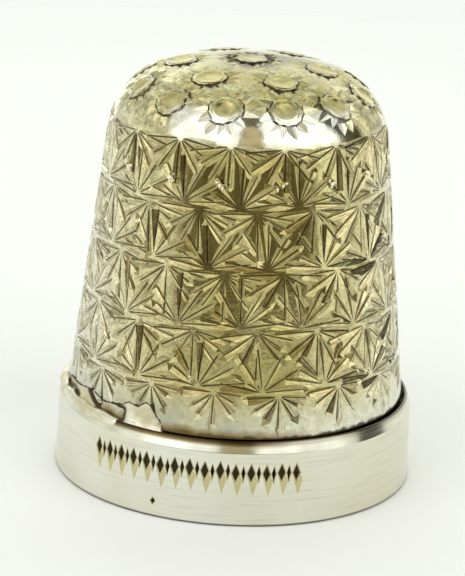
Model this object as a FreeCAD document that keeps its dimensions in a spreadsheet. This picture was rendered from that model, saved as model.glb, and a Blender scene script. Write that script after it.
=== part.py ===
import FreeCAD, Part
import math
import os

import Sketcher

# A silver thimble in three pieces: the drawn cup, the band over its foot, and the solder between.
# Millimetres. +Z points from the mouth to the crown, along the axis of revolution.
# The origin is the centre of the mouth, on the plane that the thimble stands on.

PARTS_FOLDER = "parts"

SIZES = {
    # Cup
    "overall_height": 20.7,
    "skirt_radius": 8.26,
    "skirt_taper_angle": 6.3,
    "skirt_wall": 0.5,
    "taper_start_height": 3.9,
    "shoulder_radius": 3.55,
    "crown_radius": 16.4,
    "crown_wall": 0.8,
    "hollow_shoulder_radius": 3.05,
    "mouth_rounding": 0.15,
    # Needle dimples: one at the apex and two rings of shallow round pits on the crown
    "dimple_radius": 0.6,
    "dimple_depth": 0.07,
    "inner_ring_radius": 3.4,
    "inner_ring_count": 6,
    "inner_ring_angle": -65,
    "outer_ring_radius": 5.5,
    "outer_ring_count": 12,
    "outer_ring_angle": -72,
    # Band
    "band_height": 4.2,
    "band_bore_radius": 8.34,
    "band_foot_radius": 8.75,
    "band_lip_radius": 8.68,
    "band_lip_start_height": 3.66,
    "band_crest_rounding": 0.12,
    "band_foot_rounding": 0.12,
    # Solder
    "solder_foot_height": 0.3,
    "solder_top_height": 3.88,
    "solder_fillet_radius": 0.12,
    "solder_fillet_rise": 0.06,
}

START, END, CENTRE = 1, 2, 3
ORIGIN = (-1, 1)
HORIZONTAL_AXIS = -1
VERTICAL_AXIS = -2


def make_sheet(doc):
    sheet = doc.addObject("Spreadsheet::Sheet", "Sizes")
    for row, (alias, value) in enumerate(SIZES.items(), start=1):
        sheet.set(f"A{row}", alias)
        sheet.set(f"B{row}", str(value))
        sheet.setAlias(f"B{row}", alias)
    doc.recompute()


def origin_feature(body, role):
    return next(item for item in body.Origin.OriginFeatures if item.Role == role)


def axial_sketch(body, name):
    """A sketch on the body's XZ plane, so its x is the radius and its y is the height."""
    sketch = body.newObject("Sketcher::SketchObject", name)
    sketch.AttachmentSupport = [(origin_feature(body, "XZ_Plane"), "")]
    sketch.MapMode = "FlatFace"
    return sketch


def line(sketch, start, end):
    return sketch.addGeometry(Part.LineSegment(FreeCAD.Vector(*start, 0), FreeCAD.Vector(*end, 0)))


def arc(sketch, centre, start, end):
    """A counter-clockwise arc about a centre, from one point to another."""
    middle = FreeCAD.Vector(*centre, 0)
    radius = math.dist(centre, start)
    angles = [math.atan2(y - centre[1], x - centre[0]) for x, y in (start, end)]
    circle = Part.Circle(middle, FreeCAD.Vector(0, 0, 1), radius)
    return sketch.addGeometry(Part.ArcOfCircle(circle, *angles))


def constrain(sketch, kind, *arguments):
    return sketch.addConstraint(Sketcher.Constraint(kind, *arguments))


def drive(sketch, name, expression, kind, *arguments):
    """Add a dimension and bind it to the sheet."""
    index = constrain(sketch, kind, *arguments)
    sketch.renameConstraint(index, name)
    sketch.setExpression(f"Constraints.{name}", expression)


def drive_radius(sketch, name, expression, geometry, vertex, value):
    """Drive how far a point is from the axis."""
    drive(sketch, name, expression, "DistanceX", *ORIGIN, geometry, vertex, value)


def drive_height(sketch, name, expression, geometry, vertex, value):
    """Drive how high a point is above the mouth."""
    drive(sketch, name, expression, "DistanceY", *ORIGIN, geometry, vertex, value)


def join(sketch, first, second):
    constrain(sketch, "Coincident", first, END, second, START)


def blend(sketch, first, second):
    """Join two edges end to end and make them tangent there."""
    constrain(sketch, "Tangent", first, END, second, START)


def turn(body, kind, name, sketch):
    feature = body.newObject(kind, name)
    feature.Profile = sketch
    feature.ReferenceAxis = (sketch, ["V_Axis"])
    feature.Angle = 360
    body.Tip = feature
    body.Document.recompute()


def shoulder_arc(foot_radius, shoulder, crown, apex):
    """The arc that touches both the tapered skirt's line and the crown's circle.

    Returns its centre, the point where it leaves the skirt and the point where it meets the crown.
    """
    lean = math.radians(SIZES["skirt_taper_angle"])
    taper = math.tan(lean)
    crown_centre = apex - crown
    reach = crown - shoulder
    # The centre lies on a line beside the skirt, radius = offset - taper * height,
    # and on a circle about the crown's centre. This is the upper of the two places.
    offset = foot_radius + taper * SIZES["taper_start_height"] - shoulder / math.cos(lean)
    square = 1 + taper ** 2
    half = crown_centre + offset * taper
    rest = crown_centre ** 2 + offset ** 2 - reach ** 2
    height = (half + math.sqrt(half ** 2 - square * rest)) / square
    radius = offset - taper * height
    on_skirt = (radius + shoulder * math.cos(lean), height + shoulder * math.sin(lean))
    scale = crown / reach
    on_crown = (radius * scale, crown_centre + (height - crown_centre) * scale)
    return (radius, height), on_skirt, on_crown


def cup_sketch(body, name, foot_radius, shoulder_radius, crown_radius, apex_height):
    """Half of the outline: straight foot, tapered skirt, shoulder arc and crown arc.

    Each argument after the name is a pair: the value, and the expression that gives it.
    """
    sketch = axial_sketch(body, name)
    foot_value, foot_rule = foot_radius
    shoulder_value, shoulder_rule = shoulder_radius
    crown_value, crown_rule = crown_radius
    apex_value, apex_rule = apex_height
    taper_start = SIZES["taper_start_height"]
    centre, on_skirt, on_crown = shoulder_arc(foot_value, shoulder_value, crown_value, apex_value)

    mouth = line(sketch, (0, 0), (foot_value, 0))
    foot = line(sketch, (foot_value, 0), (foot_value, taper_start))
    skirt = line(sketch, (foot_value, taper_start), on_skirt)
    shoulder = arc(sketch, centre, on_skirt, on_crown)
    crown = arc(sketch, (0, apex_value - crown_value), on_crown, (0, apex_value))
    axis = line(sketch, (0, apex_value), (0, 0))

    constrain(sketch, "Coincident", mouth, START, *ORIGIN)
    constrain(sketch, "Horizontal", mouth)
    join(sketch, mouth, foot)
    constrain(sketch, "Vertical", foot)
    join(sketch, foot, skirt)
    blend(sketch, skirt, shoulder)
    blend(sketch, shoulder, crown)
    join(sketch, crown, axis)
    join(sketch, axis, mouth)
    constrain(sketch, "Vertical", axis)
    constrain(sketch, "PointOnObject", crown, CENTRE, VERTICAL_AXIS)
    drive_radius(sketch, "foot_radius", foot_rule, foot, START, foot_value)
    drive_height(sketch, "taper_start", "Sizes.taper_start_height", foot, END, taper_start)
    lean = math.radians(90 + SIZES["skirt_taper_angle"])
    drive(sketch, "lean", "90 deg + Sizes.skirt_taper_angle * 1 deg", "Angle", skirt, lean)
    drive(sketch, "shoulder_radius", shoulder_rule, "Radius", shoulder, shoulder_value)
    drive(sketch, "crown_radius", crown_rule, "Radius", crown, crown_value)
    drive_height(sketch, "apex_height", apex_rule, crown, END, apex_value)
    return sketch


def ring_edge(shape, radius, height):
    """The name of the circular edge at this radius and height."""
    tolerance = 1e-3
    for number, edge in enumerate(shape.Edges, start=1):
        if edge.Degenerated or not isinstance(edge.Curve, Part.Circle):
            continue
        circle = edge.Curve
        if abs(circle.Radius - radius) < tolerance and abs(circle.Center.z - height) < tolerance:
            return f"Edge{number}"
    raise RuntimeError(f"no ring edge at radius {radius}, height {height}")


def round_foot_edge(body, name, radius, rounding):
    """Round the circular edge that stands on the mouth plane at this radius."""
    base = body.Tip
    fillet = body.newObject("PartDesign::Fillet", name)
    fillet.Base = (base, [ring_edge(base.Shape, radius, 0.0)])
    fillet.Radius = SIZES[rounding]
    fillet.setExpression("Radius", f"Sizes.{rounding}")
    body.Tip = fillet
    body.Document.recompute()


def crown_point(radius):
    """The height of the crown's outer face at this radius, and its normal's lean from the axis."""
    shoulder = SIZES["shoulder_radius"]
    crown = SIZES["crown_radius"]
    apex = SIZES["overall_height"]
    centre, _, on_crown = shoulder_arc(SIZES["skirt_radius"], shoulder, crown, apex)
    if radius <= on_crown[0]:
        lean = math.asin(radius / crown)
        return apex - crown + crown * math.cos(lean), lean
    lean = math.asin((radius - centre[0]) / shoulder)
    return centre[1] + shoulder * math.cos(lean), lean


def cut_dimple(body, name, ring_radius, angle):
    """Cut a ball into the crown, so that it leaves a shallow round pit."""
    ball = body.newObject("PartDesign::SubtractiveSphere", name)
    pit_radius = SIZES["dimple_radius"]
    pit_depth = SIZES["dimple_depth"]
    ball_radius = (pit_radius ** 2 + pit_depth ** 2) / (2 * pit_depth)
    ball.Radius = ball_radius
    radius_rule = "(Sizes.dimple_radius ^ 2 + Sizes.dimple_depth ^ 2) / (2 * Sizes.dimple_depth)"
    ball.setExpression("Radius", radius_rule)
    surface_height, lean = crown_point(ring_radius)
    rise = ball_radius - pit_depth
    radius = ring_radius + rise * math.sin(lean)
    turn_angle = math.radians(angle)
    place = FreeCAD.Vector(
        radius * math.cos(turn_angle),
        radius * math.sin(turn_angle),
        surface_height + rise * math.cos(lean),
    )
    ball.AttachmentSupport = [(origin_feature(body, "XY_Plane"), "")]
    ball.MapMode = "FlatFace"
    ball.AttachmentOffset = FreeCAD.Placement(place, FreeCAD.Rotation())
    body.Tip = ball
    body.Document.recompute()
    return ball


def cut_dimple_ring(body, name, ring):
    pit = cut_dimple(body, f"{name}_first", SIZES[f"{ring}_radius"], SIZES[f"{ring}_angle"])
    pattern = body.newObject("PartDesign::PolarPattern", name)
    pattern.Originals = [pit]
    pattern.Axis = (origin_feature(body, "Z_Axis"), [""])
    pattern.Angle = 360
    pattern.Occurrences = SIZES[f"{ring}_count"]
    pattern.setExpression("Occurrences", f"Sizes.{ring}_count")
    body.Tip = pattern
    body.Document.recompute()


def make_thimble_body(doc):
    body = doc.addObject("PartDesign::Body", "thimble_body")
    wall = SIZES["skirt_wall"]
    cap = SIZES["crown_wall"]
    outline = cup_sketch(
        body,
        "cup_outline",
        (SIZES["skirt_radius"], "Sizes.skirt_radius"),
        (SIZES["shoulder_radius"], "Sizes.shoulder_radius"),
        (SIZES["crown_radius"], "Sizes.crown_radius"),
        (SIZES["overall_height"], "Sizes.overall_height"),
    )
    turn(body, "PartDesign::Revolution", "cup_blank", outline)
    blank_volume = body.Shape.Volume

    hollow_radius = SIZES["skirt_radius"] - wall
    hollow = cup_sketch(
        body,
        "hollow_outline",
        (hollow_radius, "Sizes.skirt_radius - Sizes.skirt_wall"),
        (SIZES["hollow_shoulder_radius"], "Sizes.hollow_shoulder_radius"),
        (SIZES["crown_radius"] - cap, "Sizes.crown_radius - Sizes.crown_wall"),
        (SIZES["overall_height"] - cap, "Sizes.overall_height - Sizes.crown_wall"),
    )
    turn(body, "PartDesign::Groove", "finger_hollow", hollow)
    shell_volume = body.Shape.Volume
    if shell_volume > 0.3 * blank_volume:
        raise RuntimeError("the finger hollow was not cut")
    round_foot_edge(body, "mouth_edge", hollow_radius, "mouth_rounding")

    plain_volume = body.Shape.Volume
    cut_dimple(body, "apex_dimple", 0.0, 0.0)
    cut_dimple_ring(body, "inner_dimples", "inner_ring")
    cut_dimple_ring(body, "outer_dimples", "outer_ring")
    count = 1 + SIZES["inner_ring_count"] + SIZES["outer_ring_count"]
    flat_pit_volume = math.pi * SIZES["dimple_radius"] ** 2 * SIZES["dimple_depth"] / 2
    removed = plain_volume - body.Shape.Volume
    if not 0.6 < removed / (count * flat_pit_volume) < 1.0:
        raise RuntimeError(f"the needle dimples removed {removed:.3f} mm3")
    return body


def make_rim_band(doc):
    body = doc.addObject("PartDesign::Body", "rim_band")
    sketch = axial_sketch(body, "band_section")
    bore = SIZES["band_bore_radius"]
    foot = SIZES["band_foot_radius"]
    lip = SIZES["band_lip_radius"]
    lip_start = SIZES["band_lip_start_height"]
    crest = SIZES["band_crest_rounding"]
    crest_height = SIZES["band_height"] - crest
    # A first guess at the broad outer lip arc; the tangents below settle its radius.
    outer_centre = (lip - 1.1, lip_start)
    meeting = (bore + 1.5 * crest, crest_height + 0.8 * crest)

    seat = line(sketch, (bore, 0), (foot, 0))
    face = line(sketch, (foot, 0), (lip, lip_start))
    outer_lip = arc(sketch, outer_centre, (lip, lip_start), meeting)
    inner_lip = arc(sketch, (bore + crest, crest_height), meeting, (bore, crest_height))
    wall = line(sketch, (bore, crest_height), (bore, 0))

    constrain(sketch, "Horizontal", seat)
    constrain(sketch, "PointOnObject", seat, START, HORIZONTAL_AXIS)
    join(sketch, seat, face)
    blend(sketch, face, outer_lip)
    blend(sketch, outer_lip, inner_lip)
    blend(sketch, inner_lip, wall)
    join(sketch, wall, seat)
    constrain(sketch, "Vertical", wall)
    drive_radius(sketch, "bore_radius", "Sizes.band_bore_radius", seat, START, bore)
    drive_radius(sketch, "foot_radius", "Sizes.band_foot_radius", seat, END, foot)
    drive_radius(sketch, "lip_radius", "Sizes.band_lip_radius", face, END, lip)
    drive_height(sketch, "lip_start", "Sizes.band_lip_start_height", face, END, lip_start)
    drive(sketch, "crest_rounding", "Sizes.band_crest_rounding", "Radius", inner_lip, crest)
    crest_rule = "Sizes.band_height - Sizes.band_crest_rounding"
    drive_height(sketch, "crest_height", crest_rule, inner_lip, CENTRE, crest_height)
    turn(body, "PartDesign::Revolution", "band_blank", sketch)
    round_foot_edge(body, "band_foot_edge", foot, "band_foot_rounding")
    return body


def make_solder_seam(doc):
    body = doc.addObject("PartDesign::Body", "solder_seam")
    sketch = axial_sketch(body, "solder_section")
    inner = SIZES["skirt_radius"]
    outer = SIZES["band_bore_radius"]
    foot = SIZES["solder_foot_height"]
    low = SIZES["solder_top_height"]
    # The film ends in a hollow fillet that climbs the cup, just below the band's inner lip.
    high = low + SIZES["solder_fillet_rise"]
    fillet_radius = SIZES["solder_fillet_radius"]

    base = line(sketch, (inner, foot), (outer, foot))
    outside = line(sketch, (outer, foot), (outer, low))
    fillet = arc(sketch, (outer, low + fillet_radius), (inner, high), (outer, low))
    inside = line(sketch, (inner, high), (inner, foot))

    constrain(sketch, "Horizontal", base)
    join(sketch, base, outside)
    constrain(sketch, "Vertical", outside)
    constrain(sketch, "Coincident", outside, END, fillet, END)
    constrain(sketch, "Coincident", fillet, START, inside, START)
    join(sketch, inside, base)
    constrain(sketch, "Vertical", inside)
    drive_radius(sketch, "inner_radius", "Sizes.skirt_radius", base, START, inner)
    drive_radius(sketch, "outer_radius", "Sizes.band_bore_radius", base, END, outer)
    drive_height(sketch, "foot_height", "Sizes.solder_foot_height", base, START, foot)
    drive_height(sketch, "top_height", "Sizes.solder_top_height", outside, END, low)
    high_rule = "Sizes.solder_top_height + Sizes.solder_fillet_rise"
    drive_height(sketch, "fillet_top", high_rule, inside, START, high)
    drive(sketch, "fillet_radius", "Sizes.solder_fillet_radius", "Radius", fillet, fillet_radius)
    turn(body, "PartDesign::Revolution", "solder_film", sketch)
    return body


def check_document(doc, bodies):
    for item in doc.Objects:
        if "Invalid" in item.State or "Error" in item.State:
            raise RuntimeError(f"{item.Name} failed: {item.State}")
        if item.TypeId == "Sketcher::SketchObject" and item.solve() != 0:
            raise RuntimeError(f"{item.Name} is not solved")
    for body in bodies:
        shape = body.Shape
        if shape.isNull() or not shape.isValid() or len(shape.Solids) != 1:
            raise RuntimeError(f"{body.Label} is not one valid solid")


def main():
    doc = FreeCAD.newDocument("thimble")
    make_sheet(doc)
    bodies = [make_thimble_body(doc), make_rim_band(doc), make_solder_seam(doc)]
    for body in bodies:
        body.Placement = FreeCAD.Placement()
    doc.recompute()
    check_document(doc, bodies)
    os.makedirs(PARTS_FOLDER, exist_ok=True)
    for body in bodies:
        body.Shape.exportStep(os.path.join(PARTS_FOLDER, body.Label + ".step"))
        box = body.Shape.BoundBox
        print(f"{body.Label}: {body.Shape.Volume:.2f} mm3, z {box.ZMin:.3f} to {box.ZMax:.3f}")


main()
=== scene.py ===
from collections import namedtuple
from functools import reduce
import math
import random

import bmesh
import bpy
from mathutils import Matrix, Vector, noise


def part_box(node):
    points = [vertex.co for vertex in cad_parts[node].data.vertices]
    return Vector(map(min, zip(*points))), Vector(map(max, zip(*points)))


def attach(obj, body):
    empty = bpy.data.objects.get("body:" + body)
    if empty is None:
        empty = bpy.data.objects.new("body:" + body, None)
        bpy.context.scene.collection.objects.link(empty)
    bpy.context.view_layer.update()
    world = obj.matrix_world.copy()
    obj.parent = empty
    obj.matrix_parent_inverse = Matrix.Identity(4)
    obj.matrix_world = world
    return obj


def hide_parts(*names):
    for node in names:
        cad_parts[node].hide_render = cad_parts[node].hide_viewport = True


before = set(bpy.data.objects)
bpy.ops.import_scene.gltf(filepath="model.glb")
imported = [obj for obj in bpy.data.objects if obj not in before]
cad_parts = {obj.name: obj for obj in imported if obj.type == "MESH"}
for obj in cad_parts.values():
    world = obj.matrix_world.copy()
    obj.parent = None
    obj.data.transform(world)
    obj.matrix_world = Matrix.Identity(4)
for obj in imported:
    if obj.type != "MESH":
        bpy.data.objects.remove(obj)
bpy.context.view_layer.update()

# A silver thimble: bright-cut stars on the skirt, daisies on the crown, a plain stamped band.
# Shapes are worked out in millimetres and scaled when a mesh is made; materials and the camera
# are in metres. Azimuths are in degrees: 0 faces the front, -Y, and they grow towards +X.
MM = 0.001
TINY = 1e-6
UP = Vector((0, 0, 1))
# A face whose normal is within this cosine of a surface's own counts as part of that surface.
SAME_WAY = 0.9
random.seed(11)

# ---- sizes, from the frame and design
CUP_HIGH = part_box("thimble_body")[1] / MM
BAND_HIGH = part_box("rim_band")[1] / MM
SKIRT_RADIUS = CUP_HIGH.x
BAND_FOOT_RADIUS = BAND_HIGH.x
BAND_HEIGHT = BAND_HIGH.z

SKIRT_LEAN = math.radians(6.3)
SKIRT_WALL = 0.5
TAPER_START = BAND_HEIGHT - 0.3
SHOULDER_RADIUS = 3.55
HOLLOW_SHOULDER_RADIUS = 3.05
CROWN_RADIUS = 16.4
CROWN_WALL = 0.8
# The apex dimple takes the crown's very top away, so the frame's box ends at its rim.
CROWN_TOP = CUP_HIGH.z + 0.0095

BAND_BORE_RADIUS = SKIRT_RADIUS + 0.08
BAND_LIP_RADIUS = BAND_FOOT_RADIUS - 0.07
BAND_LIP_START = BAND_HEIGHT - 0.54
BAND_LIP_LEAN = math.radians(20)
BAND_CREST_ROUNDING = 0.08
BAND_FOOT_ROUNDING = 0.12
BAND_LIP_EASE = 0.04

AROUND = 288
SHOULDER_STEPS, CROWN_STEPS = 28, 14


# ---- the cup's surface of revolution
def shoulder_arc(foot_radius, shoulder, crown, apex):
    """The arc that touches the tapered skirt and the crown: centre, point on skirt, point on crown."""
    taper = math.tan(SKIRT_LEAN)
    crown_centre = apex - crown
    reach = crown - shoulder
    offset = foot_radius + taper * TAPER_START - shoulder / math.cos(SKIRT_LEAN)
    square = 1 + taper ** 2
    half = crown_centre + offset * taper
    rest = crown_centre ** 2 + offset ** 2 - reach ** 2
    height = (half + math.sqrt(half ** 2 - square * rest)) / square
    radius = offset - taper * height
    scale = crown / reach
    on_skirt = (radius + shoulder * math.cos(SKIRT_LEAN), height + shoulder * math.sin(SKIRT_LEAN))
    on_crown = (radius * scale, crown_centre + (height - crown_centre) * scale)
    return (radius, height), on_skirt, on_crown


def arc_points(centre, radius, start, end, steps):
    """Points along an arc, without its first one; the angles are in radians."""
    angles = [start + (end - start) * step / steps for step in range(1, steps + 1)]
    return [(centre[0] + radius * math.cos(a), centre[1] + radius * math.sin(a)) for a in angles]


def cup_profile(foot_radius, shoulder, crown, apex):
    """Half outline from the foot to just beside the apex."""
    centre, on_skirt, on_crown = shoulder_arc(foot_radius, shoulder, crown, apex)
    turn = math.atan2(on_crown[1] - centre[1], on_crown[0] - centre[0])
    points = [(foot_radius, 0.0), (foot_radius, TAPER_START), on_skirt]
    points += arc_points(centre, shoulder, SKIRT_LEAN, turn, SHOULDER_STEPS)
    points += arc_points((0, apex - crown), crown, turn, math.pi / 2, CROWN_STEPS)[:-1]
    return points


SHOULDER_CENTRE, _, CROWN_EDGE = shoulder_arc(
    SKIRT_RADIUS, SHOULDER_RADIUS, CROWN_RADIUS, CROWN_TOP
)
CROWN_CENTRE = CROWN_TOP - CROWN_RADIUS
CROWN_TURN = math.atan2(CROWN_EDGE[1] - SHOULDER_CENTRE[1], CROWN_EDGE[0] - SHOULDER_CENTRE[0])


def outward(azimuth):
    """The horizontal unit vector away from the axis at an azimuth."""
    turn = math.radians(azimuth - 90)
    return Vector((math.cos(turn), math.sin(turn), 0))


def surface_at(point):
    """The nearest point of the uncut outer surface, and its outward normal."""
    radius = math.hypot(point.x, point.y)
    out = Vector((point.x, point.y, 0)) / radius if radius > TINY else Vector((1, 0, 0))
    angle = math.atan2(point.z - SHOULDER_CENTRE[1], radius - SHOULDER_CENTRE[0])
    if angle > CROWN_TURN or radius < TINY:
        normal = (point - UP * CROWN_CENTRE).normalized()
        return UP * CROWN_CENTRE + normal * CROWN_RADIUS, normal
    if angle > SKIRT_LEAN:
        normal = out * math.cos(angle) + UP * math.sin(angle)
        centre = out * SHOULDER_CENTRE[0] + UP * SHOULDER_CENTRE[1]
        return centre + normal * SHOULDER_RADIUS, normal
    if point.z < TAPER_START:
        return out * SKIRT_RADIUS + UP * point.z, out
    normal = out * math.cos(SKIRT_LEAN) + UP * math.sin(SKIRT_LEAN)
    gap = (radius - SKIRT_RADIUS) * math.cos(SKIRT_LEAN)
    gap += (point.z - TAPER_START) * math.sin(SKIRT_LEAN)
    return point - normal * gap, normal


def skirt_point(azimuth, height):
    """A point on the skirt."""
    taper = math.tan(SKIRT_LEAN) * max(height - TAPER_START, 0)
    return outward(azimuth) * (SKIRT_RADIUS - taper) + UP * height


def crown_point(azimuth, radius):
    """A point on the crown or shoulder at this distance from the axis."""
    if radius < CROWN_EDGE[0]:
        height = CROWN_CENTRE + math.sqrt(CROWN_RADIUS ** 2 - radius ** 2)
    else:
        beyond = radius - SHOULDER_CENTRE[0]
        height = SHOULDER_CENTRE[1] + math.sqrt(SHOULDER_RADIUS ** 2 - beyond ** 2)
    return outward(azimuth) * radius + UP * height


def local_axes(point):
    """Unit vectors on the surface at a point: across, up the slope, and outward."""
    _, normal = surface_at(point)
    across = UP.cross(normal)
    across = across.normalized() if across.length > TINY else Vector((1, 0, 0))
    return across, normal.cross(across), normal


# ---- mesh helpers
# What a face is: the turned surface, a cut of the graver or punch, a dimple, or raised metal,
# which is a dimple's lip or a burr. The last three get an attribute of their own.
LAND, CUT, DIMPLE, RIM = range(4)
MARK_NAMES = {CUT: "cut", DIMPLE: "dimple", RIM: "raised"}
# Edges shorter than this are dissolved after the cuts.
SLIVER = 0.00003


def vary(spread):
    """A random number between minus and plus the spread."""
    return random.uniform(-spread, spread)


def full_turn(steps):
    """The angles of one full turn in equal steps, in radians."""
    return [2 * math.pi * step / steps for step in range(steps)]


def circle(centre, first, second, radius, sides):
    """Places round a circle in the plane of two unit vectors."""
    turns = full_turn(sides)
    return [centre + (first * math.cos(turn) + second * math.sin(turn)) * radius for turn in turns]


def add_ring(bm, places):
    """One vertex at each place, which is in millimetres."""
    return [bm.verts.new(place * MM) for place in places]


def bridge(bm, rings):
    """Faces between each ring of vertices and the next one."""
    faces = []
    for first, second in zip(rings, rings[1:]):
        for number in range(len(first)):
            after = (number + 1) % len(first)
            corners = (first[number], first[after], second[after], second[number])
            faces.append(bm.faces.new(corners))
    return faces


def new_object(name, bm, materials):
    """An object in the scene from a bmesh, which is freed."""
    bmesh.ops.recalc_face_normals(bm, faces=bm.faces)
    mesh = bpy.data.meshes.new(name)
    bm.to_mesh(mesh)
    bm.free()
    for material in materials:
        mesh.materials.append(material)
    piece = bpy.data.objects.new(name, mesh)
    bpy.context.scene.collection.objects.link(piece)
    return piece


def mark_faces(bm, faces, kind, corner_values=None):
    """Say what faces are, and how far each corner is from a cut's bottom and along the cut."""
    stored = bm.loops.layers.float
    layers = [stored.get(name) or stored.new(name) for name in ("across", "along")]
    for face in faces:
        face.material_index = kind
        for loop in face.loops:
            values = corner_values[loop.vert] if corner_values else (1.0, 0.0)
            for layer, value in zip(layers, values):
                loop[layer] = value


def revolve(bm, outline, tips=()):
    """Turn a half outline round Z. Its ends are joined, or each is closed by a tip on the axis."""
    turns = full_turn(AROUND)
    rings = []
    for radius, height in outline:
        places = [Vector((radius * math.cos(turn), radius * math.sin(turn), height)) for turn in turns]
        rings.append(add_ring(bm, places))
    faces = bridge(bm, rings if tips else rings + rings[:1])
    for ring, height in tips:
        tip = bm.verts.new(UP * (height * MM))
        for step in range(AROUND):
            after = (step + 1) % AROUND
            faces.append(bm.faces.new((rings[ring][step], rings[ring][after], tip)))
    mark_faces(bm, faces, LAND)


def carve(piece, build, items, operation="DIFFERENCE", **settings):
    """Build a solid for each item, and cut them all out of the piece, or join them to it.

    The solids of one call don't overlap each other, which keeps the Manifold solver happy.
    """
    bm = bmesh.new()
    for item in items:
        build(bm, *item, **settings)
    tool = new_object("tool", bm, piece.data.materials)
    modifier = piece.modifiers.new("carve", "BOOLEAN")
    modifier.operation = operation
    modifier.solver = "MANIFOLD"
    modifier.object = tool
    depsgraph = bpy.context.evaluated_depsgraph_get()
    carved = bpy.data.meshes.new_from_object(piece.evaluated_get(depsgraph))
    piece.modifiers.clear()
    before = piece.data
    piece.data = carved
    bpy.data.meshes.remove(before)
    bpy.data.objects.remove(tool)


def linked_to(start):
    """Every vertex that can be reached from this one along edges."""
    reached = {start}
    queue = [start]
    while queue:
        for edge in queue.pop().link_edges:
            for vert in edge.verts:
                if vert not in reached:
                    reached.add(vert)
                    queue.append(vert)
    return reached


def clean(piece):
    """Take away what the cuts leave behind: edges of almost no length, and chips cut loose."""
    bm = bmesh.new()
    bm.from_mesh(piece.data)
    bmesh.ops.dissolve_degenerate(bm, dist=SLIVER * MM, edges=bm.edges)
    whole = linked_to(min(bm.verts, key=lambda vert: vert.co.z))
    chips = [vert for vert in bm.verts if vert not in whole]
    bmesh.ops.delete(bm, geom=chips, context="VERTS")
    bm.to_mesh(piece.data)
    bm.free()


def set_surface(piece, smooth_normal):
    """Smooth normals on the turned surface, flat ones elsewhere, and an attribute for each mark."""
    mesh = piece.data
    for name in MARK_NAMES.values():
        mesh.attributes.new(name, "FLOAT", "CORNER")
    marks = {kind: mesh.attributes[name].data for kind, name in MARK_NAMES.items()}
    normals = [None] * len(mesh.loops)
    for face in mesh.polygons:
        face.use_smooth = True
        for loop in face.loop_indices:
            normals[loop] = face.normal.copy()
            if face.material_index == LAND:
                point = mesh.vertices[mesh.loops[loop].vertex_index].co / MM
                normals[loop] = smooth_normal(point, face.normal)
            else:
                marks[face.material_index][loop].value = 1.0
        face.material_index = 0
    mesh.normals_split_custom_set([tuple(normal) for normal in normals])
    while len(mesh.materials) > 1:
        mesh.materials.pop()


# ---- the graver's cuts
# A cut's tail leads it by at most this, and its sides stay at least this high.
LONGEST_LEAD = 0.45
LOWEST_SIDE = 0.02
# Each cut's fine lines start at a random place of the noise, up to this far along.
STROKE_SHIFT = 40


def add_groove(bm, start, end, depth, slopes, bulge, steps, lift, crease, wall):
    """A V cut: it begins as a point on the surface, deepens, and ends in a pointed or round wall."""
    start, start_normal = surface_at(start)
    end, end_normal = surface_at(end)
    length = (end - start).length
    along = (end - start).normalized()
    fall = depth / length
    lead = min(lift / fall, LONGEST_LEAD)
    tail = start + (start_normal * fall - along) * lead
    heel = end - end_normal * depth
    tail_height = max(lift - lead * fall, LOWEST_SIDE)
    heel_height = depth + lift
    tail_side = start_normal.cross(along).normalized()
    heel_side = end_normal.cross(along).normalized()
    stroke = random.uniform(0, STROKE_SHIFT)
    values = {}

    def add_vert(place, across, way):
        vert = bm.verts.new(place * MM)
        values[vert] = (across, stroke + way)
        return vert

    def rim_vert(base, normal, side, height, turn, way):
        slope = slopes[0] if turn <= math.pi / 2 else slopes[1]
        sideways = side * (math.cos(turn) / math.tan(slope))
        forward = along * (math.sin(turn) * bulge / depth) if way else Vector()
        place = base + (normal + sideways + forward) * height
        return add_vert(place, height * abs(math.cos(turn)) / math.sin(slope), way)

    ring = [rim_vert(tail, start_normal, tail_side, tail_height, 0, 0)]
    for step in range(steps + 1):
        turn = math.pi * step / steps
        ring.append(rim_vert(heel, end_normal, heel_side, heel_height, turn, length))
    ring.append(rim_vert(tail, start_normal, tail_side, tail_height, math.pi, 0))
    root = add_vert(tail, crease, 0)
    tip = add_vert(heel, crease, length)
    flanks = [(ring[0], ring[1], tip, root), (ring[-2], ring[-1], root, tip), (ring[-1], ring[0], root)]
    end_faces = [(first, second, tip) for first, second in zip(ring[1:-2], ring[2:-1])]
    mark_faces(bm, [bm.faces.new(corners) for corners in [ring[::-1]] + flanks], CUT, values)
    values = {vert: (wall, way) for vert, (_, way) in values.items()}
    mark_faces(bm, [bm.faces.new(corners) for corners in end_faces], CUT, values)


# ---- stars on the skirt
STARS_AROUND = 16
# The height and the first star's azimuth of each row, from the top.
STAR_ROWS = [(18.15, -10.0), (15.05, 2.3), (12.2, -9.6), (9.35, 3.4), (6.5, -10.3)]
STAR_TURN_SPREAD = 0.6
STAR_HEIGHT_SPREAD = 0.12
# One fan of a star, from right to left: the angle and length of each ray.
FAN = [(6, 2.15), (34, 1.9), (61, 1.85), (92, 2.25), (127, 1.95), (152, 1.5), (172, 2.0)]
FAN_SIDESTEP = 0.4
FAN_LIFT = 0.1
RAY_START = 0.12
RAY_DEPTH = 0.12
RAY_TURN_SPREAD = 5
RAY_LENGTH_RANGE = (0.9, 1.08)
RAY_DEPTH_RANGE = (0.8, 1.15)
RAY_CUT = {
    "slopes": (math.radians(21), math.radians(36)),
    "bulge": 0.42,
    "steps": 2,
    "lift": 0.14,
    "crease": 0.0,
    "wall": 1.0,
}
LAST_ROW_REACH = 0.72
# The row and rays whose cuts have a burr, and how far along the ray it is.
BURR_ROW = 1
BURR_RAYS = {1: 1.0, 4: 0.62}
BURR_RADIUS = 0.19
BURR_THICKNESS = 0.085
BURR_SUNK = 0.04
BURR_STEPS = 8
BURR_SIDES = 6
# Where a burr's curl starts and how far it goes, as shares of half a turn.
BURR_START, BURR_SWEEP = 0.1, 0.7
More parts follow.
